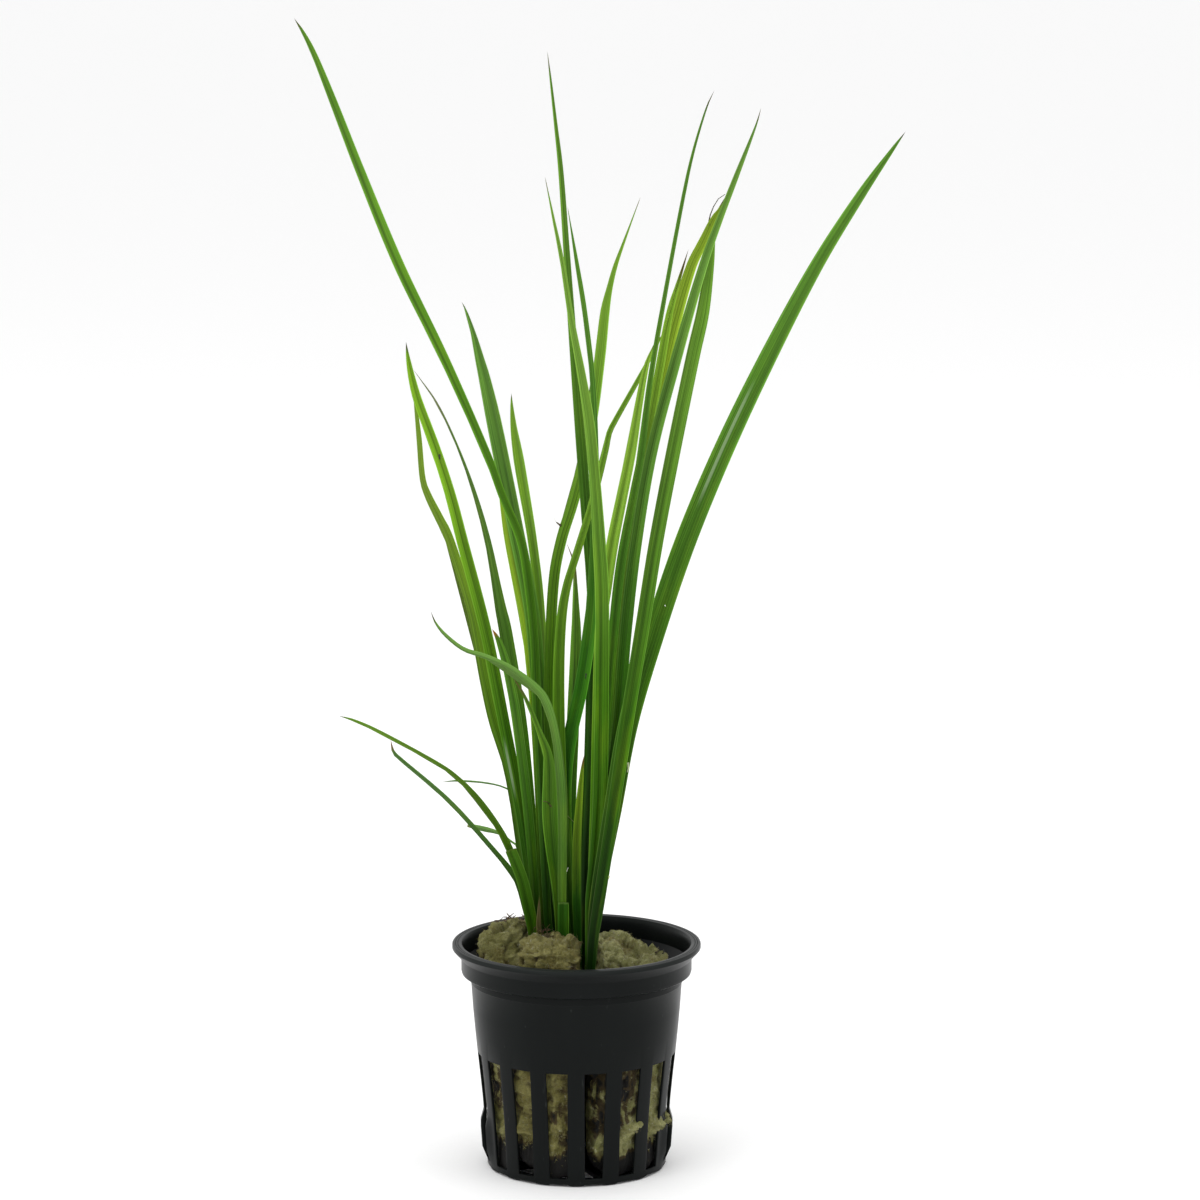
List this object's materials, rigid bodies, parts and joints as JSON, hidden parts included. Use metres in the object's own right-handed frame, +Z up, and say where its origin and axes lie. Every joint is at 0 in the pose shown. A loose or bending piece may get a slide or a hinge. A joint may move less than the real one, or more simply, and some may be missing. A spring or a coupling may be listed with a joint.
{
  "type": "potted aquarium plant",
  "caption": "Grassy aquarium plant with long arching leaves, growing in mineral wool in a small black slotted net pot with a flared lip.",
  "frame": {"origin": "middle of the pot's underside, on the pot's axis", "axes": "+Z up along the pot's axis, -Y towards the side seen in the picture, +X to its right"},
  "size_m": [0.1335, 0.092, 0.2514],
  "materials": {
    "pot": "satin black injection-moulded plastic",
    "wool": "matt olive-beige mineral fibres, damp",
    "rootstock": "matt brown rootstock",
    "sheath": "matt brown withered sheath",
    "leaf_dark": "satin dark green leaf with parallel veins",
    "leaf_mid": "satin mid green leaf with parallel veins",
    "leaf_light": "satin light green leaf with parallel veins",
    "leaf_yellow": "satin yellow-green leaf with parallel veins",
    "leaf_grey": "satin grey-green leaf with parallel veins"
  },
  "bodies": {
    "root": {"crown_front": "rootstock", "crown_left": "rootstock", "crown_middle": "rootstock", "dead_sheath": "sheath", "front_leaf_brown_tip": "leaf_mid", "front_leaf_light": "leaf_light", "front_leaf_pale": "leaf_yellow", "front_leaf_right": "leaf_mid", "front_leaf_short": "leaf_light", "front_leaf_slender": "leaf_dark", "front_leaf_tall": "leaf_mid", "front_leaf_wide": "leaf_dark", "left_cut_leaf": "leaf_mid", "left_leaf_blunt": "leaf_grey", "left_leaf_hooked": "leaf_grey", "left_leaf_kinked": "leaf_dark", "left_leaf_light": "leaf_light", "left_leaf_low": "leaf_light", "left_leaf_orange_tip": "leaf_mid", "left_leaf_threadlike": "leaf_grey", "left_leaf_wiry": "leaf_mid", "middle_cut_leaf": "leaf_dark", "middle_leaf_arching": "leaf_grey", "middle_leaf_back": "leaf_light", "middle_leaf_bent": "leaf_mid", "middle_leaf_broad": "leaf_dark", "middle_leaf_crossing": "leaf_dark", "middle_leaf_curled_tip": "leaf_mid", "middle_leaf_curved": "leaf_light", "middle_leaf_hidden": "leaf_yellow", "middle_leaf_kinked": "leaf_light", "middle_leaf_tall": "leaf_mid", "middle_leaf_upright": "leaf_dark", "middle_leaf_yellow": "leaf_yellow", "pot": "pot", "rockwool_left": "wool", "rockwool_middle": "wool", "rockwool_right": "wool"}
  },
  "joints": []
}
